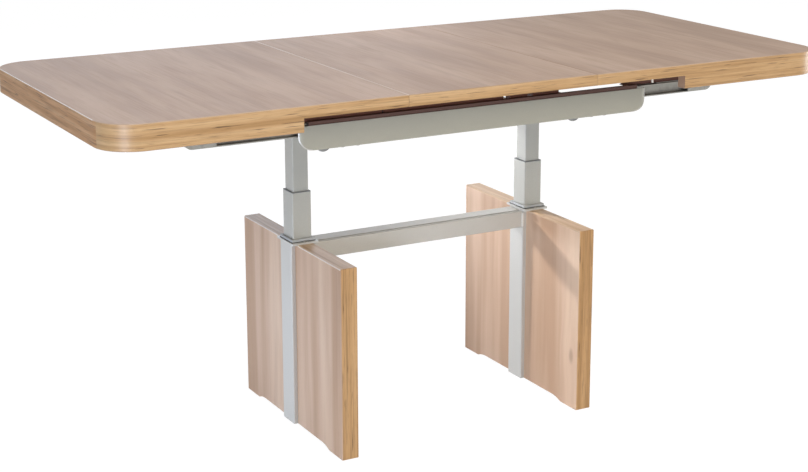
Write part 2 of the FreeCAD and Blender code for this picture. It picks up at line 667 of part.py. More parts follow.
def both_sides(name, shape):
    """A front piece and its twin at the rear."""
    return {"front_" + name: shape, "rear_" + name: mirror_y(shape)}


def base_pieces():
    """What stands on the floor."""
    pieces = {}
    for name, shape in both_sides("leg_panel", leg_panel()).items():
        pieces.update(both_ends(name, shape))
    pieces.update(both_ends("post", post()))
    pieces.update(both_ends("post_flange", post_flange()))
    pieces.update(both_ends("post_bush", post_bush()))
    pieces.update(both_ends("gas_cylinder", gas_cylinder()))
    pieces["crossbar"] = crossbar()
    foot_y = PANEL_DEPTH / 2 - GLIDE_INSET
    inner_foot_y = PANEL_DEPTH / 2 - FOOT_LENGTH + GLIDE_INSET
    ends = (-COLUMN_X, COLUMN_X)
    pieces["floor_glides"] = Part.makeCompound(
        [glide(x, y) for x in ends for y in (-foot_y, -inner_foot_y, inner_foot_y, foot_y)])
    pieces["flange_screws"] = Part.makeCompound(
        [flange_screw(x, y) for x in ends for y in (-FLANGE_SCREW_Y, FLANGE_SCREW_Y)])
    return pieces


def column_pieces():
    """The tubes that telescope."""
    mid_bush = guide_bush(MID_SIZE, UPPER_SIZE, MID_TOP, MID_SIZE, MID_BUSH_RIM_HEIGHT)
    pieces = both_ends("mid_tube", column_tube(MID_SIZE, (MID_BOTTOM, MID_TOP)))
    pieces.update(both_ends("mid_bush", mid_bush))
    pieces.update(both_ends("upper_tube", column_tube(UPPER_SIZE, (UPPER_BOTTOM, RAIL_FLANGE_TOP))))
    pieces.update(both_ends("gas_rod", gas_rod()))
    return pieces


def frame_pieces():
    """The lifted frame, its slide channels and the insert's guides."""
    pieces = both_sides("rail", front_rail())
    pieces.update(both_ends("column_head", column_head()))
    pieces.update(both_ends("end_tie", end_tie()))
    pieces.update(both_sides("slide_channel", slide_channel()))
    pieces.update(both_sides("slide_shoes", slide_shoes()))
    pieces.update(both_ends("insert_guide_bar", guide_bar()))
    pieces["insert_guide_bushes"] = insert_guide_bushes()
    pieces["stop_buffers"] = Part.makeCompound(
        [stop_buffer(x, y) for x in (-BUFFER_X, BUFFER_X) for y in (-BUFFER_Y, BUFFER_Y)])
    pieces["release_shaft_brackets"] = release_shaft_brackets()
    pieces["release_shaft"] = release_shaft()
    pieces["release_handle"] = release_handle()
    return pieces


def top_pieces():
    """The two leaves with their strips, battens and runners, and the insert."""
    pieces = both_ends("leaf_board", leaf_board())
    for name, shape in leaf_strips().items():
        pieces.update(both_ends(name, shape))
    short_runner = runner(SHORT_RUNNER_END)
    long_runner = mirror_y(runner(LONG_RUNNER_END))
    pieces["right_front_runner"] = short_runner
    pieces["right_rear_runner"] = long_runner
    pieces["left_rear_runner"] = half_turn(short_runner)
    pieces["left_front_runner"] = half_turn(long_runner)
    pieces["right_front_batten"] = short_batten()
    pieces["right_rear_batten"] = long_batten()
    pieces["left_rear_batten"] = half_turn(short_batten())
    pieces["left_front_batten"] = half_turn(long_batten())
    pieces["insert_board"] = insert_board()
    pieces["insert_cleats"] = insert_cleats()
    pieces["insert_side_battens"] = Part.makeCompound([side_batten(), half_turn(side_batten())])
    pieces["insert_guide_pins"] = insert_guide_pins()
    return pieces


def main():
    """Builds every piece and writes each one to its own file."""
    os.makedirs("parts", exist_ok=True)
    for group in (base_pieces, column_pieces, frame_pieces, top_pieces):
        for name, shape in group().items():
            shape.exportStep(f"parts/{name}.step")
            print(name, len(shape.Solids), "solid(s)", round(shape.Volume / 1000, 1), "cm3", shape.isValid())


main()
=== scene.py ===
"""Looks of a convertible coffee and dining table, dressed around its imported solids.

Metres, +X along the table, +Y to the rear, +Z up, with the floor at z = 0. The table stands as a
dining table: leaves apart, insert up, columns raised.
"""
import logging
import math
from dataclasses import dataclass
from enum import Enum
from functools import cache
from typing import Callable, Iterable, Sequence

import bmesh
import bpy
from bmesh.types import BMEdge, BMesh, BMVert
from bpy.types import ID, Material, NodeSocket, NodeTree, Object, World
from mathutils import Matrix, Vector


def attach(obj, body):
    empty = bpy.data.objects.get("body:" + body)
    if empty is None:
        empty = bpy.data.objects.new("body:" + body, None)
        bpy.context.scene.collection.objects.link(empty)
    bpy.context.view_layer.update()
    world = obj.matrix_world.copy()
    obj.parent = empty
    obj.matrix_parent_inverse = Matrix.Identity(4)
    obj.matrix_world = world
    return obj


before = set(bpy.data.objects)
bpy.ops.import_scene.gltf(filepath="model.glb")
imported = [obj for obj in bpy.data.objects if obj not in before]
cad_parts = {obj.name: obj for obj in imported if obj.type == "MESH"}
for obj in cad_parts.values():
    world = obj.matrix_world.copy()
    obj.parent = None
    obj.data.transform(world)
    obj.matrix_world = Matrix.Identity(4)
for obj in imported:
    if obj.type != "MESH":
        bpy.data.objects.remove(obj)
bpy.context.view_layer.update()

LOG = logging.getLogger("table")
MM = 0.001
TOUCH = 0.01 * MM
MELAMINE_IOR = 1.5
PAINT_IOR = 1.5
PLASTIC_IOR = 1.46
RUBBER_IOR = 1.52
WHITE = (1.0, 1.0, 1.0, 1.0)
QUARTER = math.pi / 2
ALONG = Vector((1, 0, 0))
BACK = Vector((0, 1, 0))
UP = Vector((0, 0, 1))


def linear(code: str) -> tuple[float, float, float, float]:
    """Turn an sRGB hex colour to linear light.

    Args:
        code: six hex digits after a #.

    Returns:
        Red, green, blue and an alpha of 1.
    """
    channels = [int(code[place:place + 2], 16) / 255 for place in (1, 3, 5)]
    red, green, blue = (c / 12.92 if c <= 0.04045 else ((c + 0.055) / 1.055) ** 2.4 for c in channels)
    return red, green, blue, 1.0


def add(tree: NodeTree, kind: str, inputs: dict | None = None, out: int | str = 0,
        stops: Sequence[tuple[float, str]] = (), **settings: object) -> NodeSocket | None:
    """Add a shader node with its settings and links.

    Args:
        tree: the material's or world's node tree.
        kind: the node's type name after ShaderNode.
        inputs: a value or an output socket for each named or numbered input.
        out: the output that is wanted.
        stops: place and hex colour of each stop, on a colour ramp.
        settings: the node's own properties.

    Returns:
        The wanted output, or None where the node has no outputs.
    """
    node = tree.nodes.new("ShaderNode" + kind)
    for name, value in settings.items():
        setattr(node, name, value)
    for socket, value in (inputs or {}).items():
        if isinstance(value, NodeSocket):
            tree.links.new(value, node.inputs[socket])
        else:
            node.inputs[socket].default_value = value
    for number, (place, code) in enumerate(stops):
        stop = node.color_ramp.elements[number] if number < 2 else node.color_ramp.elements.new(place)
        stop.position = place
        stop.color = linear(code)
    return node.outputs[out] if node.outputs else None


def blend(tree: NodeTree, share: NodeSocket, under: object, over: str) -> NodeSocket:
    """Lay a colour over what is under it, as thick as its share."""
    return add(tree, "Mix", {0: share, 6: under, 7: linear(over)}, 2, data_type="RGBA")


def noise(tree: NodeTree, place: NodeSocket, size: float, detail: float = 2.0) -> NodeSocket:
    """A cloudy pattern with patches of a real size."""
    return add(tree, "TexNoise", {"Vector": place, "Scale": 1 / size, "Detail": detail})


def vary(tree: NodeTree, pattern: NodeSocket, low: float, high: float) -> NodeSocket:
    """Spread a pattern over a range of values."""
    return add(tree, "MapRange", {"Value": pattern, "To Min": low, "To Max": high})


def link(name: str, data: ID) -> Object:
    """Put a mesh, lamp or camera in the scene, and give back its object."""
    made = bpy.data.objects.new(name, data)
    bpy.context.scene.collection.objects.link(made)
    return made


def emptied(owner: Material | World) -> NodeTree:
    """Give a material or world its node tree, with nothing in it."""
    owner.use_nodes = True
    owner.node_tree.nodes.clear()
    return owner.node_tree


@dataclass(frozen=True)
class Finish:
    """A surface, named for its material."""

    name: str

    def inputs(self, tree: NodeTree) -> dict[str, object]:
        """Build the finish's patterns.

        Args:
            tree: the material's node tree.

        Returns:
            What goes into each input of the shader.
        """
        raise NotImplementedError

    @cache
    def material(self) -> Material:
        """Build the material, once.

        Returns:
            The finished material.
        """
        material = bpy.data.materials.new(self.name)
        tree = emptied(material)
        add(tree, "OutputMaterial", {"Surface": add(tree, "BsdfPrincipled", self.inputs(tree))})
        return material


class Grain(Enum):
    """Where a print lies: its coordinates, the way across the grain and the way along it."""

    ACROSS_TOP = ("Object", (1.0, 0.0, 0.0), (0.0, 1.0, 0.0))
    # The legs stand apart along X, which moves the print on, so that no two faces are alike
    UP_LEG = ("Object", (0.0, 1.0, 0.0), (13.0, 0.0, 1.0))
    ALONG_TABLE = ("Object", (0.0, 1.0, 1.0), (1.0, 0.0, 0.0))
    ALONG_EDGING = ("UV", (0.0, 1.0, 0.0), (1.0, 0.0, 0.0))


class Fade(Enum):
    """Levels between which each pattern of a print fades in; those round a knot are in widths of it."""

    HEART = (0.48, 0.62)
    RING = (0.45, 1.0)
    CLUSTER = (0.44, 0.66)
    STREAK = (0.46, 0.72)
    MOTTLE = (0.46, 0.74)
    FIBRE = (0.5, 0.78)
    PORE = (0.58, 0.72)
    CRACK = (0.68, 0.76)
    KNOT = (1.3, 0.3)
    KNOT_BEND = (6.0, 0.0)


@dataclass(frozen=True)
class Oak(Finish):
    """Oak, printed on melamine and edging or stained: soft bands, arched rings, streaks and knots."""

    grain: Grain
    pale: str
    body: str
    dark: str
    vein: str
    sheet_shift: float = 0.0
    band_width: float = 110 * MM
    band_length: float = 1300 * MM
    ring_spacing: float = 22 * MM
    ring_depth: float = 0.30
    streak_width: float = 16 * MM
    streak_depth: float = 0.40
    fibre_width: float = 4 * MM
    fibre_depth: float = 0.25
    mottle_depth: float = 0.0
    pore_size: tuple[float, float] = (1 * MM, 24 * MM)
    pore_depth: float = 0.22
    crack_size: tuple[float, float] = (2.2 * MM, 70 * MM)
    crack_depth: float = 0.0
    crack_tone: str = "#3F2A1B"
    knot_depth: float = 0.0
    knot_place: tuple[float, float] = (0.0, 0.0)
    knot_size: float = 9 * MM
    knot_bend: float = 0.6
    knot_tone: str = "#6B4A36"
    roughness: float = 0.5
    specular: float = 0.5

    def inputs(self, tree: NodeTree) -> dict[str, object]:
        """Build the print, as Finish.inputs says."""
        source, across, along = self.grain.value
        place = add(tree, "TexCoord", out=source)
        side, run = (add(tree, "VectorMath", {0: place, 1: way}, "Value", operation="DOT_PRODUCT")
                     for way in (across, along))
        moved = add(tree, "Math", {0: run, 1: self.sheet_shift}, operation="ADD")
        board = add(tree, "CombineXYZ", {"X": side, "Y": moved})

        def streaks(width: float, length: float, detail: float = 2.0) -> NodeSocket:
            """Drawn-out patches of a real width and length, as a share from 0 to 1."""
            cells = add(tree, "VectorMath", {0: board, 1: (1 / width, 1 / length, 1.0)}, operation="MULTIPLY")
            return add(tree, "TexNoise", {"Vector": cells, "Scale": 1.0, "Detail": detail},
                       noise_dimensions="2D")

        def part(value: NodeSocket, fade: Fade, depth: object) -> NodeSocket:
            """The part of a pattern between its two levels, spread from 0 to a depth."""
            low, high = fade.value
            return add(tree, "MapRange", {"Value": value, "From Min": low, "From Max": high, "To Max": depth},
                       interpolation_type="SMOOTHSTEP")

        if self.knot_depth:
            # Grain spreads round the knot, which is twice as long as it is wide
            away = add(tree, "VectorMath", {0: board, 1: (*self.knot_place, 0.0)}, operation="SUBTRACT")
            oval = add(tree, "VectorMath", {0: away, 1: (1 / self.knot_size, 0.5 / self.knot_size, 1.0)},
                       operation="MULTIPLY")
            reach = add(tree, "VectorMath", {0: oval}, "Value", operation="LENGTH")
            bend = part(reach, Fade.KNOT_BEND, self.knot_bend)
            push = add(tree, "VectorMath", {0: away, "Scale": bend}, operation="SCALE")
            board = add(tree, "VectorMath", {0: push, 1: (-1.0, 0.0, 0.0), 2: board}, operation="MULTIPLY_ADD")
        bands = streaks(self.band_width, self.band_length, 3.0)
        colour = add(tree, "ValToRGB", {"Fac": bands},
                     stops=((0.32, self.dark), (0.68, self.pale), (0.5, self.body)))
        # Rings bow sideways, as where a board is cut near the heart of the trunk
        sway = streaks(1.6 * self.band_width, 0.35 * self.band_length, 1.0)
        bowed = add(tree, "Math", {0: sway, 1: 4.0 * self.ring_spacing, 2: side}, operation="MULTIPLY_ADD")
        rings = add(tree, "TexWave", {"Vector": add(tree, "CombineXYZ", {"X": bowed, "Y": moved}),
                                      "Scale": 0.1 * math.pi / self.ring_spacing, "Distortion": 1.2,
                                      "Detail": 3.0, "Detail Scale": 1.5}, "Fac", wave_profile="SAW")
        hearts = streaks(1.3 * self.band_width, 0.45 * self.band_length, 1.0)
        share = part(rings, Fade.RING, part(hearts, Fade.HEART, self.ring_depth))
        colour = blend(tree, share, colour, self.dark)
        clusters = streaks(4 * self.streak_width, 0.5 * self.band_length, 1.0)
        lines = streaks(self.streak_width, 0.45 * self.band_length, 4.0)
        share = part(lines, Fade.STREAK, part(clusters, Fade.CLUSTER, self.streak_depth))
        colour = blend(tree, share, colour, self.vein)
        if self.mottle_depth:
            patches = streaks(0.35 * self.band_width, 0.2 * self.band_length, 3.0)
            colour = blend(tree, part(patches, Fade.MOTTLE, self.mottle_depth), colour, self.dark)
        # Fibre is drawn coarser than real fibre, so that it shows from a few metres
        fibre = streaks(self.fibre_width, 45 * self.fibre_width, 3.0)
        colour = blend(tree, part(fibre, Fade.FIBRE, self.fibre_depth), colour, self.vein)
        pores = streaks(*self.pore_size)
        colour = blend(tree, part(pores, Fade.PORE, self.pore_depth), colour, self.vein)
        if self.crack_depth:
            cracks = streaks(*self.crack_size, 1.5)
            colour = blend(tree, part(cracks, Fade.CRACK, self.crack_depth), colour, self.crack_tone)
        if self.knot_depth:
            colour = blend(tree, part(reach, Fade.KNOT, self.knot_depth), colour, self.knot_tone)
        return {"Base Color": colour, "IOR": MELAMINE_IOR, "Specular IOR Level": self.specular,
                "Roughness": vary(tree, fibre, self.roughness - 0.06, self.roughness + 0.08),
                "Normal": add(tree, "Bump", {"Height": pores, "Strength": 0.12, "Distance": 0.15 * MM})}


@dataclass(frozen=True)
class Coat(Finish):
    """Sprayed or baked paint on steel: a fine orange-peel skin over a slightly uneven tone."""

    body: str
    flake: str
    metallic: float = 0.0
    roughness: float = 0.45
    peel: float = 1.4 * MM
    drift_size: float = 120 * MM
    flake_size: float = 1.2 * MM

    def inputs(self, tree: NodeTree) -> dict[str, object]:
        """Build the paint, as Finish.inputs says."""
        place = add(tree, "TexCoord", out="Object")
        drift = noise(tree, place, self.drift_size)
        flakes = add(tree, "TexVoronoi", {"Vector": place, "Scale": 1 / self.flake_size})
        spark = add(tree, "MapRange", {"Value": flakes, "From Min": 0.1, "From Max": 0.7,
                                       "To Min": 0.45, "To Max": 0.0})
        share = add(tree, "Math", {0: spark, 1: drift}, operation="MULTIPLY")
        skin = noise(tree, place, self.peel, 1.0)
        return {"Base Color": blend(tree, share, linear(self.body), self.flake),
                "Metallic": self.metallic, "IOR": PAINT_IOR,
                "Roughness": vary(tree, drift, self.roughness - 0.02, self.roughness + 0.03),
                "Normal": add(tree, "Bump", {"Height": skin, "Strength": 0.10, "Distance": 0.1 * MM})}


@dataclass(frozen=True)
class Plating(Finish):
    """Plated steel: bare metal with the spangle of zinc, or the drawn lines of a chromed rod."""

    body: str
    spangle: str
    spangle_size: float = 5 * MM
    scratch_size: float = 2 * MM
    drawn: tuple[float, float, float] = (1.0, 1.0, 1.0)
    roughness: float = 0.34

    def inputs(self, tree: NodeTree) -> dict[str, object]:
        """Build the plate, as Finish.inputs says."""
        place = add(tree, "TexCoord", out="Object")
        cells = add(tree, "VectorMath", {0: place, 1: self.drawn}, operation="MULTIPLY")
        grains = add(tree, "TexVoronoi", {"Vector": cells, "Scale": 1 / self.spangle_size}, "Color")
        share = add(tree, "SeparateColor", {"Color": grains})
        scratches = noise(tree, cells, self.scratch_size)
        return {"Base Color": blend(tree, share, linear(self.body), self.spangle), "Metallic": 1.0,
                "Roughness": vary(tree, scratches, 0.8 * self.roughness, 1.3 * self.roughness)}


@dataclass(frozen=True)
class Moulding(Finish):
    """Moulded plastic or rubber: an even tone, clouded a little, with the fine grit of the mould."""

    body: str
    cloud: str
    ior: float = PLASTIC_IOR
    roughness: float = 0.5
    cloud_size: float = 18 * MM
    grit_size: float = 0.9 * MM

    def inputs(self, tree: NodeTree) -> dict[str, object]:
        """Build the plastic, as Finish.inputs says."""
        place = add(tree, "TexCoord", out="Object")
        clouds = noise(tree, place, self.cloud_size, 3.0)
        grit = noise(tree, place, self.grit_size, 1.0)
        return {"Base Color": add(tree, "ValToRGB", {"Fac": clouds},
                                  stops=((0.35, self.body), (0.75, self.cloud))),
                "IOR": self.ior,
                "Roughness": vary(tree, grit, self.roughness - 0.08, self.roughness + 0.08),
                "Normal": add(tree, "Bump", {"Height": grit, "Strength": 0.15, "Distance": 0.1 * MM})}


def board_print(name: str, shift: float) -> Oak:
    """The print of one board of the top, moved along so that no two boards match."""
    return Oak(name, Grain.ACROSS_TOP, "#B79B85", "#AD9079", "#9E816A", "#7B614D", sheet_shift=shift,
               band_width=90 * MM, band_length=700 * MM, ring_depth=0.14, streak_depth=0.26,
               mottle_depth=0.4, fibre_depth=0.14, pore_depth=0.12)


def edging_roll(name: str, *tones: str, **pattern: float) -> Oak:
    """A roll of edging with a fine print along it, in its tones from pale to vein."""
    return Oak(name, Grain.ALONG_EDGING, *tones, ring_spacing=7 * MM, fibre_width=2 * MM, **pattern)


# Melamine with an oak print: greyish beige, with soft bands and cloudy patches across the table
LEFT_TOP = board_print("oak_melamine_left_leaf", 0.0)
INSERT_TOP = board_print("oak_melamine_insert", 3.4)
RIGHT_TOP = board_print("oak_melamine_right_leaf", 6.1)
# The same board upright: paler, with the grain running up the leg
LEG = Oak("oak_melamine_leg", Grain.UP_LEG, "#DABFA5", "#CFB197", "#BA987B", "#9C7B61",
          band_width=75 * MM, band_length=1400 * MM, ring_depth=0.08, streak_width=24 * MM,
          streak_depth=0.26, mottle_depth=0.3, fibre_depth=0.05, pore_depth=0.08, knot_depth=0.4,
          knot_place=(-208 * MM, 3484 * MM))
# Edging with an oak print along it: golden, with fine dark cracks
EDGING = edging_roll(
    "oak_edging", "#CDAB7F", "#C29D6F", "#AE885A", "#81633F",
    band_width=12 * MM, band_length=600 * MM, streak_width=4 * MM, fibre_depth=0.4,
    crack_depth=0.75, roughness=0.36)
# The same edging across the ends of the table, printed darker as painted shade on the end faces, and with more
# streaks
END_EDGING_SHADED = edging_roll(
    "oak_edging_end", "#CDA47A", "#C39569", "#AE8154", "#6E5238",
    band_width=10 * MM, band_length=300 * MM, streak_width=3 * MM, streak_depth=0.7, fibre_depth=0.5,
    crack_depth=0.85, roughness=0.52, specular=0.34)
# The same edging along the tops of the legs: a paler, greyer roll, which paints the sheen the up-facing tops
# catch
LEG_TOP_SHEEN = edging_roll(
    "oak_edging_leg_top", "#DCC2A4", "#D2B492", "#C2A07C", "#957655",
    band_width=14 * MM, band_length=500 * MM, streak_width=5 * MM, roughness=0.4)
# Redder edging up the legs, with long dark lines
LEG_EDGING = edging_roll(
    "oak_edging_leg", "#CDA778", "#C29A69", "#AE8555", "#7A5A38",
    band_width=12 * MM, band_length=900 * MM, streak_width=3 * MM, streak_depth=0.6, fibre_depth=0.4,
    crack_depth=0.7, roughness=0.4)
# Scraped rounding of the edging, between the tones of print and edging
RIM = Oak("scraped_edging", Grain.ALONG_EDGING, "#C9AE92", "#BFA284", "#B09273", "#94785C",
          band_width=12 * MM)
# The same rounding painted near white where it faces the light: a painted highlight
HIGHLIGHT_RIM = Oak("scraped_edging_white", Grain.ALONG_EDGING, "#F2EAE0", "#EADFD2", "#DCCDBD", "#C8B5A2",
                band_width=12 * MM, roughness=0.32)
# Beech stained dark brown, under the top
STAINED = Oak("stained_beech", Grain.ALONG_TABLE, "#704534", "#5F382A", "#4D2C20", "#351D16",
              band_width=20 * MM, streak_width=6 * MM, roughness=0.55)
# Silver-grey powder coat: matt, with a faint sparkle of flake
SILVER = Coat("silver_powder_coat", "#B0B0A8", "#CCCCC7", 0.2, 0.34)
# The same coat on the welded base: a little brighter
BASE_SILVER = Coat("silver_powder_coat_base", "#C4C4BF", "#DCDCD9", 0.28, 0.33)
# The same coat on the folded sheet of the crossbar: duller
BAR_SILVER = Coat("silver_powder_coat_bar", "#C2C1BB", "#D8D7D3", 0.2, 0.48)
# The same coat on the pressed sheet of the rails: duller, and darker and yellower as painted shade and warm
# bounce under the top
RAIL_SILVER_SHADED = Coat("silver_powder_coat_sheet", "#A6A598", "#BDBCB1", 0.2, 0.5)
# The same coat on the weld beads, painted pale as a highlight: the brightest of the coats
WELD_HIGHLIGHT_SILVER = Coat("silver_powder_coat_weld", "#DADAD6", "#EDEDEA", 0.2, 0.36)
# Thin brown paint on rolled steel: nearly matt
BROWN = Coat("brown_painted_steel", "#573A31", "#674A3F", roughness=0.5)
# Black stove enamel: dark with a soft sheen
BLACK = Coat("black_enamelled_steel", "#1C1C1D", "#2E2E30", roughness=0.38)
# Zinc plate gone dull: mid-grey metal with a small spangle
ZINC = Plating("zinc_plated_steel", "#9C9A93", "#A8A69F", roughness=0.45)
# Ground chrome: bright, with faint rings round the rod
CHROME = Plating("chromed_rod", "#D2D2D4", "#DCDCDE", spangle_size=3 * MM, drawn=(1.0, 1.0, 6.0),
                 roughness=0.08)
# Grey nylon of the column guides: moulded, satin
GREY_NYLON = Moulding("grey_nylon", "#A9ACAB", "#B7BAB9")
# Dark grey nylon of the inner guides and the paddle: satin, close to the shade between the tubes
DARK_NYLON = Moulding("dark_grey_nylon", "#767979", "#828585")
# Natural nylon: ivory, a little waxy
NYLON = Moulding("natural_nylon", "#DAD6CB", "#E4E0D6", roughness=0.4)
# Black rubber: dull, slightly dusty
RUBBER = Moulding("black_rubber", "#2B2B2C", "#3A3A3A", RUBBER_IOR, 0.75)
# Grey rubber of the stops: dull, darker than the paint
GREY_RUBBER = Moulding("grey_rubber", "#8B8C88", "#979894", RUBBER_IOR, 0.7)


class Pen:
    """Draws a mesh: lengthens a line by runs and quarter turns, then sweeps it into a band of faces."""

    def __init__(self) -> None:
        """Start with nothing drawn."""
        self.mesh: BMesh = bmesh.new()
        self.line: list[BMEdge] = []
        self.tip: BMVert | None = None

    def start(self, place: Sequence[float]) -> None:
        """Begin a new line at a point."""
        self.tip = self.mesh.verts.new(place)
        self.line = []

    def run(self, step: Vector) -> None:
        """Lengthen the line by a straight run."""
        made = bmesh.ops.extrude_vert_indiv(self.mesh, verts=[self.tip])
        self.tip = made["verts"][0]
        self.line += made["edges"]
        bmesh.ops.translate(self.mesh, verts=[self.tip], vec=step)

    def turn(self, centre: Vector, axis: Vector, steps: int) -> None:
        """Lengthen the line by a quarter turn, or sweep it round one where it is the side of a band.

        Args:
            centre: a point on the axis.
            axis: what the line turns about.
            steps: the number of edges or faces along the turn.
        """
        before = set(self.mesh.edges)
        geom = [self.tip] if self.tip else self.line + self.corners()
        last = bmesh.ops.spin(self.mesh, geom=geom, cent=centre, axis=axis, angle=QUARTER,
                              steps=steps)["geom_last"]
        if self.tip:
            self.tip = next(item for item in last if isinstance(item, BMVert))
            self.line += [edge for edge in self.mesh.edges if edge not in before]
        else:
            self.line = [item for item in last if isinstance(item, BMEdge)]

    def corners(self) -> list[BMVert]:
        """The vertices of the line."""
        return list(dict.fromkeys(vert for edge in self.line for vert in edge.verts))

    def sweep(self, step: Vector) -> None:
        """Sweep the line straight into a band, and go on from the band's far side."""
        made = bmesh.ops.extrude_edge_only(self.mesh, edges=self.line)["geom"]
        bmesh.ops.translate(self.mesh, verts=[item for item in made if isinstance(item, BMVert)], vec=step)
        self.line = [item for item in made if isinstance(item, BMEdge)]
        self.tip = None

    def close(self) -> None:
        """Merge the points that lie on each other."""
        bmesh.ops.remove_doubles(self.mesh, verts=self.mesh.verts[:], dist=TOUCH)

    def face_out(self, centre: Vector) -> None:
        """Turn every face away from a point, for a band that goes round it."""
        self.mesh.normal_update()
        inward = [face for face in self.mesh.faces
                  if face.normal.dot(face.calc_center_median() - centre) < 0]
        bmesh.ops.reverse_faces(self.mesh, faces=inward)

    def face_closed(self) -> None:
        """Turn the faces of closed shapes outwards."""
        bmesh.ops.recalc_face_normals(self.mesh, faces=self.mesh.faces[:])

    def unroll(self, place: Callable[[Vector], tuple[float, float]]) -> None:
        """Give each corner of each face its place on the unrolled band.

        Args:
            place: gives the length along the band and the height across it, in metres, for a point.
        """
        layer = self.mesh.loops.layers.uv.new("run")
        for face in self.mesh.faces:
            for loop in face.loops:
                loop[layer].uv = place(loop.vert.co)

    def piece(self, name: str, material: Material) -> Object:
        """Turn the mesh, which is freed, into an object in the scene.

        Args:
            name: the object's name.
            material: its material.

        Returns:
            The new object.
        """
        data = bpy.data.meshes.new(name)
        self.mesh.to_mesh(data)
        self.mesh.free()
        data.materials.append(material)
        return link(name, data)


@dataclass(frozen=True)
class Screw:
    """Head of a screw that is driven in from below: a rounded disc or hexagon with a socket."""

    radius: float
    height: float
    # Six for a hexagon, more for a round head
    sides: int = 16
    taper: float = 0.86
    socket_wall: float = 0.42
    socket_depth: float = 0.5

    def row(self, places: Iterable[tuple[float, float, float]]) -> Pen:
        """Draw a row of heads.

        Args:
            places: the middle of the face under each head.

        Returns:
            The finished mesh.
        """
        pen = Pen()
        mesh = pen.mesh
        for place in places:
            middle = Vector(place) - UP * (self.height / 2)
            turned = Matrix.Translation(middle) @ Matrix.Rotation(math.pi, 4, "X")
            head = bmesh.ops.create_cone(mesh, cap_ends=True, segments=self.sides, radius1=self.radius,
                                         radius2=self.taper * self.radius, depth=self.height, matrix=turned)
            lower = min(vert.co.z for vert in head["verts"])
            crown = next(face for vert in head["verts"] for face in vert.link_faces
                         if all(corner.co.z < lower + TOUCH for corner in face.verts))
            bmesh.ops.inset_individual(mesh, faces=[crown], thickness=self.socket_wall * self.radius)
            bmesh.ops.translate(mesh, verts=crown.verts[:], vec=UP * (self.socket_depth * self.height))
        pen.face_closed()
        return pen


def thicken(piece: Object, thickness: float, round_width: float = 0.0) -> None:
    """Give a band its thickness outwards and break its edges.

    Args:
        piece: the band.
        thickness: in metres.
        round_width: width of the rounding, or 0 for none.
    """
    wall = piece.modifiers.new("wall", "SOLIDIFY")
    wall.thickness = thickness
    wall.offset = 1.0
    if round_width:
        edge = piece.modifiers.new("edge", "BEVEL")
        edge.width = round_width
        edge.segments = 2
        edge.limit_method = "ANGLE"


class Way(Enum):
    """A direction, as the sign along its axis."""

    @property
    def word(self) -> str:
        """The direction's name as the pieces use it."""
        return self.name.lower()


class Side(Way):
    """End of the table, as the sign of X."""

    LEFT = -1
    RIGHT = 1


class Half(Way):
    """Long side of the table, as the sign of Y."""

    FRONT = -1
    REAR = 1


def at_ends(*pieces: str) -> list[str]:
    """Names of pieces that both ends of the table have."""
    return [f"{side.word}_{piece}" for side in Side for piece in pieces]


def at_longs(*pieces: str) -> list[str]:
    """Names of pieces that both long sides of the table have."""
    return [f"{half.word}_{piece}" for half in Half for piece in pieces]


@dataclass
class SubAssembly:
    """A group of pieces that move together."""

    body: str = ""

    def dress(self, finish: Finish, *nodes: str) -> None:
        """Put a finish on solids.

        Args:
            finish: the finish.
            nodes: names of the solids.
        """
        for name in nodes:
            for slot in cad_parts[name].material_slots:
                slot.material = finish.material()
            LOG.info("dressed %s in %s", name, finish.name)

    def keep(self, pen: Pen, name: str, finish: Finish, slot: str) -> Object:
        """Turn a finished mesh into a piece that rides on this group's body.

        Args:
            pen: the mesh, in place.
            name: the piece's name.
            finish: its finish.
            slot: the record's material slot; not used.

        Returns:
            The new object.
        """
        piece = pen.piece(name, finish.material())
        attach(piece, self.body)
        LOG.info("built %s, %d faces, on %s", name, len(piece.data.polygons), self.body)
        return piece

    def refinish(self, piece: Object, finish: Finish, chosen: Callable[[Vector], bool]) -> None:
        """Put a second finish on some of a piece's faces.

        Args:
            piece: the piece.
            finish: its second finish.
            chosen: tells from a face's normal whether the face has it.
        """
        piece.data.materials.append(finish.material())
        for face in piece.data.polygons:
            face.material_index = int(chosen(face.normal))


@dataclass
class EdgedGroup(SubAssembly):
    """A group whose boards carry edging, scraped to a pale rounding at the board's faces."""

    edging_thickness: float = 0.5 * MM
    edging_rounding: float = 0.2 * MM
    edge_round: float = 1.2 * MM
    rim_lift: float = 0.06 * MM
    rim_flat: float = 0.0
    rim_steps: int = 4

    def lay_edging(self, pen: Pen, name: str, finish: Finish) -> Object:
        """Keep a band as a strip of edging, thickened outwards, and give it back."""
        piece = self.keep(pen, name, finish, "oak_laminate")
        thicken(piece, self.edging_thickness, self.edging_rounding)
        return piece

    def lay_rim(self, pen: Pen, name: str, highlighted: Callable[[Vector], bool]) -> None:
        """Keep a band as the pale rounding of an edge, a hair above the solid.

        Args:
            pen: the band.
            name: the piece's name.
            highlighted: tells from a face's normal whether it has the white painted highlight.
        """
        piece = self.keep(pen, name, RIM, "oak_laminate")
        # Faces that the mask picks are painted white as a highlight
        self.refinish(piece, HIGHLIGHT_RIM, highlighted)
        thicken(piece, self.rim_lift)

    def draw_rim(self, pen: Pen, place: Vector, out: Vector) -> None:
        """Draw the quarter-round section of a rim, from the side of the board to its top.

        Args:
            pen: where it is drawn.
            place: where the edge would be if it were sharp.
            out: the level way out of the board.
        """
        pen.start(place - UP * (self.edge_round + self.rim_flat))
        if self.rim_flat:
            pen.run(UP * self.rim_flat)
        pen.turn(place - (UP + out) * self.edge_round, out.cross(UP), self.rim_steps)


@dataclass
class TopBoard(EdgedGroup):
    """A board of the top."""

    half_width: float = 350.0 * MM
    top: float = 750.0 * MM
    board_bottom: float = 728.0 * MM

    @property
    def edging_top(self) -> float:
        """Height where the edging ends and its rounding starts."""
        return self.top - self.edge_round


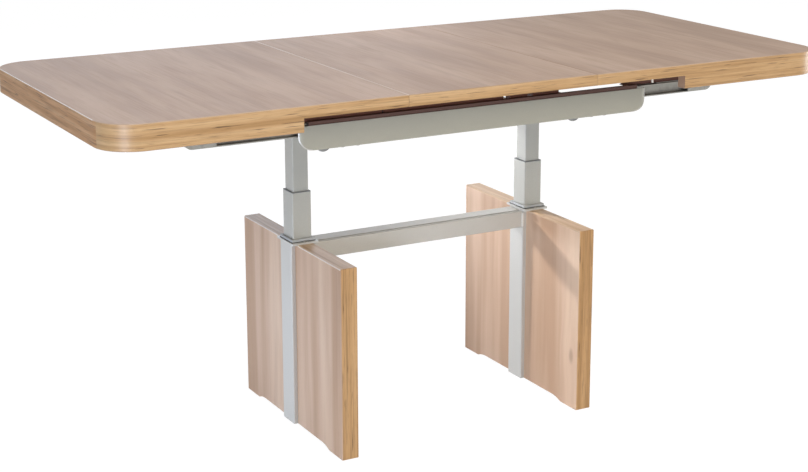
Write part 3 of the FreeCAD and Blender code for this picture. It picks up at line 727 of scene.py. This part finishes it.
@dataclass
class Leaf(TopBoard):
    """One sliding half of the top, with its rim, battens and runners."""

    side: Side = Side.RIGHT
    half_length: float = 791.5 * MM
    rim_bottom: float = 702.7 * MM
    corner: float = 72.0 * MM
    corner_steps: int = 48
    inner_end: float = 210.6 * MM
    strip_start: float = 424.0 * MM
    # Moves the print along, so that the two leaves don't match
    print_shift: float = 1.7
    # Least share of X in the normals of the flat end's edging, which gets the darker print of painted shade,
    # and most of Y in those of its rim, which is painted white as a highlight
    end_facing: float = 0.98
    end_level: float = 0.01
    batten_bottom: float = 697.0 * MM
    batten_screw_y: float = 233.5 * MM
    batten_screws: tuple[float, ...] = (0.400, 0.520, 0.640)
    screw: Screw = Screw(3.6 * MM, 2.2 * MM)
    peg_place: tuple[float, float] = (352 * MM, -338 * MM)
    peg_radius: float = 2.2 * MM
    peg_round: float = 0.55 * MM
    peg_length: float = 9.0 * MM
    # Outer ends of the plates on the short and the long runner
    cap_ends: tuple[float, float] = (568.7 * MM, 615.7 * MM)
    cap_y: float = 254.0 * MM
    cap_z: tuple[float, float] = (671.3 * MM, 694.7 * MM)
    cap_length: float = 62.0 * MM
    cap_corner: float = 15.7 * MM
    cap_steps: int = 6
    cap_thickness: float = 0.8 * MM
    cap_round: float = 0.2 * MM

    def __post_init__(self) -> None:
        """Take the body of the chosen end, and find where the corners start."""
        self.body = self.side.word + "_leaf"
        self.turn_x = self.half_length - self.corner
        self.turn_y = self.half_width - self.corner
        self.turns = [Vector((self.turn_x, half.value * self.turn_y, 0)) for half in Half]

    def rim_length(self, point: Vector) -> float:
        """Length along the rim, from the middle of the table to a point on it.

        Args:
            point: a point on the right-hand leaf's rim.

        Returns:
            The length, in metres.
        """
        side_length = min(point.x, self.turn_x)
        end_start = self.turn_x + self.corner * QUARTER
        over = max(0.0, point.x - self.turn_x)
        if point.y < -self.turn_y:
            return side_length + math.atan2(over, -self.turn_y - point.y) * self.corner
        if point.y > self.turn_y:
            bend = math.atan2(point.y - self.turn_y, over) * self.corner
            return end_start + 2 * self.turn_y + bend + self.turn_x - side_length
        return end_start + point.y + self.turn_y

    def finish_band(self, pen: Pen) -> None:
        """Close, unroll and face a band round the leaf, and put it at its own end of the table.

        Args:
            pen: the band, on the right-hand leaf.
        """
        pen.close()
        pen.face_out(Vector((self.half_length - 2 * self.corner, 0, self.board_bottom)))
        shift = self.print_shift * (self.side is Side.LEFT)
        pen.unroll(lambda point: (self.rim_length(point) + shift, point.z))
        if self.side is Side.LEFT:
            bmesh.ops.scale(pen.mesh, vec=(-1, 1, 1), verts=pen.mesh.verts[:])
            bmesh.ops.reverse_faces(pen.mesh, faces=pen.mesh.faces[:])

    def edging(self) -> None:
        """Edging round the leaf: the board's own height, and the rim's where strips lie under it."""
        pen = Pen()
        board = ALONG * (self.strip_start - self.inner_end)
        strip = ALONG * (self.turn_x - self.strip_start)
        pen.start((self.inner_end, -self.half_width, self.edging_top))
        pen.run(board)
        pen.run(strip)
        pen.turn(self.turns[0], UP, self.corner_steps)
        pen.run(BACK * (2 * self.turn_y))
        pen.turn(self.turns[1], UP, self.corner_steps)
        pen.run(-strip)
        pen.run(-board)
        pen.sweep(UP * (self.board_bottom - self.edging_top))
        pen.line = [edge for edge in pen.line
                    if min(vert.co.x for vert in edge.verts) > self.strip_start - MM]
        pen.sweep(UP * (self.rim_bottom - self.board_bottom))
        self.finish_band(pen)
        piece = self.lay_edging(pen, self.body + "_edging", EDGING)
        # Faces across the flat end take the darker print, as painted shade
        self.refinish(piece, END_EDGING_SHADED, lambda normal: abs(normal.x) > self.end_facing)

    def rounded_rim(self) -> None:
        """Pale rounding along the leaf's outer top edge, painted white as a highlight across the end."""
        pen = Pen()
        self.draw_rim(pen, Vector((self.inner_end, -self.half_width, self.top)), -BACK)
        pen.sweep(ALONG * (self.turn_x - self.inner_end))
        pen.turn(self.turns[0], UP, self.corner_steps)
        pen.sweep(BACK * (2 * self.turn_y))
        pen.turn(self.turns[1], UP, self.corner_steps)
        pen.sweep(ALONG * (self.inner_end - self.turn_x))
        self.finish_band(pen)
        # Rim faces across the end are painted white as a highlight
        self.lay_rim(pen, self.body + "_rim", lambda normal: abs(normal.y) < self.end_level)

    def peg(self) -> None:
        """Peg that stops the leaf's edge on the frame."""
        pen = Pen()
        x, y = self.peg_place
        middle = Vector((self.side.value * x, self.side.value * y, self.board_bottom - self.peg_length / 2))
        bmesh.ops.create_cone(pen.mesh, cap_ends=True, segments=16, radius1=self.peg_radius,
                              radius2=self.peg_radius, depth=self.peg_length, matrix=Matrix.Translation(middle))
        bmesh.ops.bevel(pen.mesh, geom=pen.mesh.edges[:], offset=self.peg_round, segments=2, profile=0.5,
                        affect="EDGES", material=-1)
        self.keep(pen, self.body + "_peg", NYLON, "nylon")

    def slide_caps(self) -> None:
        """Plates that close the open side of each runner at its outer end."""
        pen = Pen()
        out = ALONG * self.side.value
        low, high = self.cap_z
        for half in Half:
            end = self.cap_ends[self.side.value == half.value]
            pen.start(out * (end - self.cap_length) + BACK * (half.value * self.cap_y) + UP * low)
            pen.run(out * (self.cap_length - self.cap_corner))
            pen.turn(pen.tip.co + UP * self.cap_corner, out.cross(UP), self.cap_steps)
            pen.run(UP * (high - low - self.cap_corner))
            pen.run(-out * self.cap_length)
            bmesh.ops.contextual_create(pen.mesh, geom=pen.line)
        pen.face_out(out * self.cap_ends[0])
        piece = self.keep(pen, self.body + "_slide_caps", ZINC, "zinc_steel")
        thicken(piece, self.cap_thickness, self.cap_round)

    def build(self) -> None:
        """Dress the leaf's solids and build its edging and fastenings."""
        word = self.side.word
        self.dress(LEFT_TOP if self.side is Side.LEFT else RIGHT_TOP, word + "_leaf_board", word + "_end_strip",
                   word + "_front_strip", word + "_rear_strip")
        for half in Half:
            self.dress(STAINED, f"{word}_{half.word}_batten")
            self.dress(ZINC, f"{word}_{half.word}_runner")
        self.edging()
        self.rounded_rim()
        screws = self.screw.row((self.side.value * x, half.value * self.batten_screw_y, self.batten_bottom)
                                for half in Half for x in self.batten_screws)
        self.keep(screws, self.body + "_batten_screws", ZINC, "zinc_steel")
        self.peg()
        self.slide_caps()


@dataclass
class Insert(TopBoard):
    """Middle board of the top, with the cleats, battens and pins under it."""

    body: str = "insert"
    half_length: float = 210.0 * MM
    print_shift: float = 5.0
    # Most of X in the normals of the left seam's rim, which is painted white as a highlight
    seam_facing: float = -0.1
    batten_bottom: float = 690.0 * MM
    batten_screw_y: float = 240.0 * MM
    batten_screws: tuple[float, ...] = (-0.175, -0.060, 0.020, 0.160)
    screw: Screw = Screw(3.2 * MM, 2.0 * MM)

    def edging(self) -> None:
        """Edging on the two long sides of the insert."""
        for half in Half:
            pen = Pen()
            pen.start((-self.half_length, half.value * self.half_width, self.edging_top))
            pen.run(ALONG * (2 * self.half_length))
            pen.sweep(UP * (self.board_bottom - self.edging_top))
            pen.face_out(UP * self.edging_top)
            pen.unroll(lambda point: (half.value * point.x + self.print_shift, point.z))
            self.lay_edging(pen, f"insert_{half.word}_edging", EDGING)

    def rounded_rims(self) -> None:
        """Pale rounding along the insert's two long sides and along its left seam, whose rounding is painted
        white as a highlight.
        """
        pen = Pen()
        reach = self.half_width - self.edge_round
        self.draw_rim(pen, Vector((-self.half_length, -reach, self.top)), -ALONG)
        pen.sweep(BACK * (2 * reach))
        reach = self.half_length - self.edge_round
        for half in Half:
            place = Vector((-reach, half.value * self.half_width, self.top))
            self.draw_rim(pen, place, BACK * half.value)
            pen.sweep(ALONG * (2 * reach))
        pen.face_out(UP * self.board_bottom)
        pen.unroll(lambda point: (point.x + point.y, point.z))
        # The left seam's rim faces are painted white as a highlight
        self.lay_rim(pen, "insert_rim", lambda normal: normal.x < self.seam_facing)

    def build(self) -> None:
        """Dress the insert's solids and build its edging and the screws of its battens, half a turn apart."""
        self.dress(INSERT_TOP, "insert_board")
        self.dress(STAINED, "insert_cleats", "insert_side_battens")
        self.dress(ZINC, "insert_guide_pins")
        self.edging()
        self.rounded_rims()
        screws = self.screw.row((-half.value * x, half.value * self.batten_screw_y, self.batten_bottom)
                                for half in Half for x in self.batten_screws)
        self.keep(screws, "insert_batten_screws", ZINC, "zinc_steel")


@dataclass
class Base(EdgedGroup):
    """Leg panels, posts and crossbar, which stand on the floor."""

    body: str = "base"
    rim_flat: float = 1.0 * MM
    column_x: float = 277.0 * MM
    panel_half: float = 18.0 * MM
    panel_reach: float = 230.0 * MM
    panel_top: float = 395.0 * MM
    panel_foot: float = 2.4 * MM
    panel_steps: int = 3
    # Moves the print along, so that no two panels match
    print_shift: float = 3.0
    flange_reach: float = 38.4 * MM
    flange_top: float = 399.0 * MM
    post_face: float = 250.0 * MM
    crossbar_half: float = 25.0 * MM
    crossbar_z: tuple[float, float] = (357.0 * MM, 391.0 * MM)
    bead_start: float = 1.8 * MM
    bead_sides: int = 12
    bead_ripple: float = 2.4 * MM
    # Growth of a bead at its first step, and at each step down and up after that
    bead_growth: tuple[float, float, float] = (1.55, 0.8, 1.25)
    bead_reach: float = 20.0 * MM
    bead_gap: float = 2.0 * MM
    bush_rim: tuple[float, float] = (52.0 * MM, 58.0 * MM)
    seal_height: float = 1.2 * MM
    seal_thickness: float = 0.8 * MM
    seal_round: float = 0.16 * MM

    def leg_edging(self, side: Side, half: Half) -> None:
        """Edging up the outer edge of a leg panel and over its corner, and a paler roll along its top, whose
        paleness is a painted sheen.

        Args:
            side: left or right leg.
            half: front or rear panel.
        """
        sign = half.value
        middle = ALONG * (side.value * self.column_x)
        width = self.panel_half - self.edge_round
        low_x = middle.x - width
        turn_y = sign * (self.panel_reach - self.edge_round)
        turn_z = self.panel_top - self.edge_round
        upright, level = Pen(), Pen()
        upright.start((low_x, sign * self.panel_reach, self.panel_foot))
        upright.run(UP * (turn_z - self.panel_foot))
        upright.turn(Vector((low_x, turn_y, turn_z)), ALONG * sign, self.panel_steps)
        level.start((low_x, turn_y, self.panel_top))
        level.run(BACK * (sign * self.flange_reach - turn_y))
        shift = self.print_shift * side.value + sign
        # The tops' roll is paler as a painted sheen
        for pen, place, finish in ((upright, "edging", LEG_EDGING), (level, "top_edging", LEG_TOP_SHEEN)):
            pen.sweep(ALONG * (2 * width))
            pen.close()
            pen.face_out(middle)
            pen.unroll(lambda p: (p.z + self.panel_reach - abs(p.y) + shift, p.x - low_x))
            self.lay_edging(pen, f"{side.word}_{half.word}_leg_{place}", finish)

    def leg_rims(self, side: Side) -> None:
        """Pale roundings along the top edges of a leg's two panels, painted white as a highlight on the left
        leg.

        Args:
            side: left or right leg.
        """
        pen = Pen()
        middle = ALONG * (side.value * self.column_x)
        length = self.panel_reach - self.edge_round - self.flange_reach
        for half in Half:
            for out in (-ALONG, ALONG):
                place = middle + out * self.panel_half + BACK * (half.value * self.flange_reach)
                self.draw_rim(pen, place + UP * self.panel_top, out)
                pen.sweep(BACK * (half.value * length))
        pen.face_out(middle)
        pen.unroll(lambda point: (point.y, point.x))
        # On the left leg the whole rim is painted white as a highlight
        self.lay_rim(pen, side.word + "_leg_rims", lambda normal: side is Side.LEFT)

    def weld_bead(self, pen: Pen, start: Vector, run: Vector) -> None:
        """Draw a rippled weld bead along a seam.

        Args:
            pen: the mesh that collects the beads.
            start: the bead's first end.
            run: from the first end to the last.
        """
        steps = 2 * round(run.length / self.bead_ripple)
        aim = Matrix.Translation(start) @ UP.rotation_difference(run).to_matrix().to_4x4()
        ring = bmesh.ops.create_circle(pen.mesh, cap_ends=True, radius=self.bead_start,
                                       segments=self.bead_sides, matrix=aim)["verts"]
        pen.line = list(dict.fromkeys(edge for vert in ring for edge in vert.link_edges))
        first, down, up = self.bead_growth
        for step in range(steps):
            pen.sweep(run / steps)
            size = first if step == 0 else down if step % 2 else up
            middle = start + run * ((step + 1) / steps)
            bmesh.ops.scale(pen.mesh, vec=(size,) * 3, space=Matrix.Translation(-middle),
                            verts=pen.corners())
        bmesh.ops.edgeloop_fill(pen.mesh, edges=pen.line)

    def welds(self) -> None:
        """Beads down both sides of each end of the crossbar, and under it."""
        pen = Pen()
        low, high = self.crossbar_z
        for side in Side:
            x = side.value * self.post_face
            for half in Half:
                self.weld_bead(pen, Vector((x, half.value * self.crossbar_half, low + self.bead_gap)),
                               UP * (high - low - 2 * self.bead_gap))
            self.weld_bead(pen, Vector((x, -self.bead_reach, low)), BACK * (2 * self.bead_reach))
        pen.face_closed()
        # The beads' pale coat is a painted highlight
        self.keep(pen, "crossbar_welds", WELD_HIGHLIGHT_SILVER, "silver_powder_coat")

    def seal(self, side: Side) -> None:
        """Black ring round the foot of a post's bush, which paints the shadow line under the bush.

        Args:
            side: left or right post.
        """
        pen = Pen()
        centre = Vector((side.value * self.column_x, 0, self.flange_top))
        shape = Matrix.Diagonal((*self.bush_rim, 1.0, 1.0)) @ Matrix.Rotation(QUARTER / 2, 4, "Z")
        bmesh.ops.create_circle(pen.mesh, segments=4, radius=math.sqrt(0.5),
                                matrix=Matrix.Translation(centre) @ shape)
        pen.line = pen.mesh.edges[:]
        pen.sweep(UP * self.seal_height)
        pen.face_out(centre)
        # The black ring is painted shade: a shadow line under the bush
        piece = self.keep(pen, side.word + "_post_seal", RUBBER, "black_rubber")
        thicken(piece, self.seal_thickness, self.seal_round)

    def build(self) -> None:
        """Dress the base's solids and build its edging, shade rings and welds."""
        self.dress(LEG, *at_ends(*at_longs("leg_panel")))
        self.dress(BASE_SILVER, *at_ends("post", "post_flange"))
        self.dress(BAR_SILVER, "crossbar")
        self.dress(GREY_NYLON, *at_ends("post_bush"))
        self.dress(BLACK, *at_ends("gas_cylinder"))
        self.dress(RUBBER, "floor_glides")
        self.dress(ZINC, "flange_screws")
        for side in Side:
            for half in Half:
                self.leg_edging(side, half)
            self.leg_rims(side)
            self.seal(side)
        self.welds()


@dataclass
class MidColumn(SubAssembly):
    """Middle tube of a telescopic column, with the bush on its upper end."""

    side: Side = Side.RIGHT

    def __post_init__(self) -> None:
        """Take the body of the chosen column."""
        self.body = self.side.word + "_mid_column"

    def build(self) -> None:
        """Dress the column's solids."""
        self.dress(SILVER, self.side.word + "_mid_tube")
        self.dress(DARK_NYLON, self.side.word + "_mid_bush")


@dataclass
class LiftFrame(SubAssembly):
    """Upper tubes, rails and slides, which rise and sink with the top."""

    body: str = "lift_frame"
    flange_bottom: float = 645.0 * MM
    bolt_x: tuple[float, ...] = (266.0 * MM, 298.0 * MM)
    bolt_y: float = 250.0 * MM
    bolt: Screw = Screw(5.0 * MM, 3.0 * MM, 6)
    rail_end: float = 393.0 * MM
    rail_face: float = 262.0 * MM
    rail_top: float = 692.0 * MM
    rail_corner: float = 28.0 * MM
    curl_radius: float = 16.0 * MM
    curl_turn: float = QUARTER / 2
    hem_width: float = 2.2 * MM
    hem_columns: int = 2
    hem_steps: int = 12
    hem_thickness: float = 0.5 * MM
    hem_round: float = 0.15 * MM

    def rail_hems(self, half: Half) -> None:
        """Beads of the brighter base coat along the curled ends and lower corners of a rail, which paint the
        highlight on those edges.

        Args:
            half: the front or the rear rail.
        """
        pen = Pen()
        mesh = pen.mesh
        pen.start((self.rail_end, 0, self.rail_top))
        for _ in range(self.hem_columns):
            pen.run(-ALONG * (self.hem_width / self.hem_columns))
        centre = Vector((self.rail_end - self.rail_corner, 0, self.flange_bottom + self.rail_corner))
        pen.sweep(UP * (centre.z - self.rail_top))
        pen.turn(centre, BACK, self.hem_steps)
        curl_start = self.rail_end - self.curl_radius * math.sin(self.curl_turn)
        for vert in mesh.verts:
            past = max(0.0, vert.co.x - curl_start)
            sunk = self.curl_radius - math.sqrt(self.curl_radius ** 2 - past ** 2)
            vert.co.y = half.value * (self.rail_face - sunk)
        bmesh.ops.mirror(mesh, geom=mesh.verts[:] + mesh.edges[:] + mesh.faces[:], axis="X", merge_dist=0.0)
        pen.face_out(UP * self.rail_top)
        # The beads' brighter coat is a painted highlight
        piece = self.keep(pen, half.word + "_rail_hems", BASE_SILVER, "silver_powder_coat")
        thicken(piece, self.hem_thickness, self.hem_round)

    def build(self) -> None:
        """Dress the frame's solids and build its highlight beads and the bolts of the column heads."""
        self.dress(SILVER, *at_ends("upper_tube", "column_head", "end_tie", "insert_guide_bar"))
        self.dress(CHROME, *at_ends("gas_rod"))
        # The rails' darker, yellower coat is painted shade
        self.dress(RAIL_SILVER_SHADED, *at_longs("rail"), "release_shaft_brackets")
        self.dress(BROWN, *at_longs("slide_channel"))
        self.dress(NYLON, *at_longs("slide_shoes"), "insert_guide_bushes")
        self.dress(GREY_RUBBER, "stop_buffers")
        for half in Half:
            self.rail_hems(half)
        bolts = self.bolt.row((side.value * x, half.value * self.bolt_y, self.flange_bottom)
                              for side in Side for half in Half for x in self.bolt_x)
        self.keep(bolts, "head_bolts", ZINC, "zinc_steel")


@dataclass
class Release(SubAssembly):
    """Shaft and paddle that free the gas springs."""

    body: str = "release"

    def build(self) -> None:
        """Dress the release's solids."""
        self.dress(ZINC, "release_shaft")
        self.dress(DARK_NYLON, "release_handle")


@dataclass(frozen=True)
class Lamp:
    """A soft box: where it stands, what it faces, its size, power and tint, how far a honeycomb lets it
    spread, and whether glossy surfaces show it.
    """

    name: str
    place: tuple[float, float, float]
    target: tuple[float, float, float]
    size: tuple[float, float]
    power: float
    tint: str = "#FFFFFF"
    spread: float = 180.0
    mirrored: bool = True

    def build(self) -> None:
        """Put the lamp in the scene."""
        data = bpy.data.lights.new(self.name, "AREA")
        data.shape = "RECTANGLE"
        data.size, data.size_y = self.size
        data.energy = self.power
        data.spread = math.radians(self.spread)
        data.color = linear(self.tint)[:3]
        lamp = link(self.name, data)
        lamp.location = self.place
        way = Vector(self.target) - Vector(self.place)
        lamp.rotation_euler = way.to_track_quat("-Z", "Y").to_euler()
        lamp.visible_glossy = self.mirrored
        LOG.info("lamp %s", self.name)


@dataclass(frozen=True)
class Studio:
    """White floor and surroundings, soft lamps and the camera of the photograph."""

    floor_half: float = 14.0
    floor_cells: int = 4
    floor_tone: str = "#F2F2F2"
    ambient: float = 0.1
    floor_glow: float = 0.88
    floor_white: float = 1.12
    eye: tuple[float, float, float] = (-1.72197, -3.08946, 1.36725)
    yaw: float = 0.5012
    pitch: float = 0.238
    roll: float = -0.0022
    focal_pixels: float = 1734.55
    centre_row: float = 170.0
    picture: tuple[int, int] = (808, 472)
    sensor_mm: float = 36.0
    lamps: tuple[Lamp, ...] = (
        Lamp("front_box", (0.6, -3.2, 2.8), (0.0, 0.0, 0.6), (2.4, 1.6), 68.0, "#FFF1DC"),
        Lamp("top_box", (-0.2, -0.6, 3.2), (0.0, 0.0, 0.7), (2.4, 1.8), 33.0, "#F6F8FF"),
        Lamp("front_left_box", (-3.5, -3.3, 0.5), (0.0, 0.0, 0.4), (1.2, 0.8), 100.0, "#E2EBFF"),
        Lamp("left_box", (-4.08, -2.5, 1.5), (0.0, 0.0, 0.4), (1.2, 0.8), 11.0, "#F2F5FF"),
        Lamp("low_left_box", (-1.45, 0.5, 0.12), (-0.3, 0.04, 0.14), (0.6, 0.3), 0.5, "#D4E3FF", 42.0),
        Lamp("rear_lamp", (-0.2, 1.5, 1.03), (0.26, -0.10, 0.33), (0.12, 0.12), 1.2, "#F2F2F6", 27.0, False),
        Lamp("low_rear_box", (-0.2, 1.6, 0.28), (0.25, 0.0, 0.20), (0.6, 0.3), 1.05, "#F2F2F6", 42.0),
        Lamp("rear_box", (0.7, 5.0, 1.75), (0.0, 0.0, 0.6), (4.6, 1.8), 40.0, "#DCE8FF"),
        Lamp("right_box", (3.2, -0.5, 0.62), (0.39, -0.28, 0.655), (0.8, 0.4), 22.0),
    )

    def seen_directly(self, tree: NodeTree) -> NodeSocket:
        """Socket that is 1 for rays from the camera, off gloss or through glass, and 0 for light."""
        camera, gloss, glass = (add(tree, "LightPath", out=f"Is {kind} Ray")
                                for kind in ("Camera", "Glossy", "Transmission"))
        either = add(tree, "Math", {0: camera, 1: gloss}, operation="MAXIMUM")
        return add(tree, "Math", {0: either, 1: glass}, operation="MAXIMUM")

    def surroundings(self) -> None:
        """Even white light all round, shown as plain white."""
        world = bpy.data.worlds.new("white_studio")
        tree = emptied(world)
        level = vary(tree, self.seen_directly(tree), self.ambient, 1.0)
        add(tree, "OutputWorld", {"Surface": add(tree, "Background", {"Color": WHITE, "Strength": level})})
        bpy.context.scene.world = world

    def floor(self) -> None:
        """Plain white floor, which keeps a faint shadow of the table."""
        pen = Pen()
        bmesh.ops.create_grid(pen.mesh, x_segments=self.floor_cells, y_segments=self.floor_cells,
                              size=self.floor_half)
        material = bpy.data.materials.new("white_paper")
        tree = emptied(material)
        paper = add(tree, "BsdfDiffuse", {"Color": linear(self.floor_tone)})
        glow = add(tree, "Emission", {"Color": WHITE, "Strength": self.floor_white})
        share = add(tree, "Math", {0: self.seen_directly(tree), 1: self.floor_glow}, operation="MULTIPLY")
        add(tree, "OutputMaterial", {"Surface": add(tree, "MixShader", {0: share, 1: paper, 2: glow})})
        pen.piece("floor", material)

    def camera(self) -> None:
        """Camera at the photograph's place, with its framing."""
        data = bpy.data.cameras.new("camera")
        width, height = self.picture
        data.sensor_width = self.sensor_mm
        data.lens = self.focal_pixels * self.sensor_mm / width
        data.shift_y = (self.centre_row - height / 2) / width
        aim = Matrix.Translation(self.eye)
        for angle, axis in ((-self.yaw, "Z"), (QUARTER - self.pitch, "X"), (self.roll, "Z")):
            aim = aim @ Matrix.Rotation(angle, 4, axis)
        camera = link("camera", data)
        camera.matrix_world = aim
        bpy.context.scene.camera = camera

    def build(self) -> None:
        """Build the whole studio."""
        bpy.context.scene.view_settings.view_transform = "Standard"
        self.surroundings()
        self.floor()
        self.camera()
        for lamp in self.lamps:
            lamp.build()


def main() -> None:
    """Build the table's groups in order, then the studio."""
    logging.basicConfig(level=logging.INFO, format="%(name)s: %(message)s")
    groups = [Base(), LiftFrame(), Release(), Insert()]
    for side in Side:
        groups += [MidColumn(side=side), Leaf(side=side)]
    for group in groups:
        group.build()
    Studio().build()


if __name__ == "__main__":
    main()
